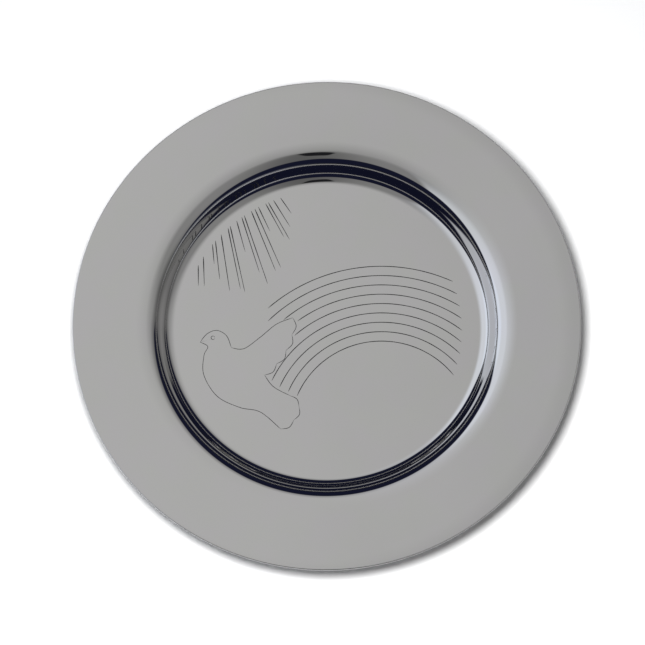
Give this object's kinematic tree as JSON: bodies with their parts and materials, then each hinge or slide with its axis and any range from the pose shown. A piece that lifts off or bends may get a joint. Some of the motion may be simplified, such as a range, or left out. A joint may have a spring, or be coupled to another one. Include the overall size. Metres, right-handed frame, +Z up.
{
  "type": "offering plate",
  "caption": "Round polished steel plate with a wide sloping rim, a hemmed edge, a shallow flat well engraved with a bird, bands and rays, and a padded base.",
  "frame": {"origin": "centre of the base pad's underside, where the plate rests", "axes": "+Z up along the plate's axis; +Y towards the side of the well with the rays, +X towards the open ends of the engraved bands, so the bird's head points to -X"},
  "size_m": [0.3, 0.3, 0.0217],
  "materials": {
    "polished_steel": "mirror polished stainless steel with faint wiping marks",
    "adhesive": "thin film of yellowish contact adhesive",
    "baize": "dark green wool baize, short nap"
  },
  "bodies": {
    "root": {"plate_body": "polished_steel", "pad_adhesive": "adhesive", "base_pad": "baize"}
  },
  "joints": []
}
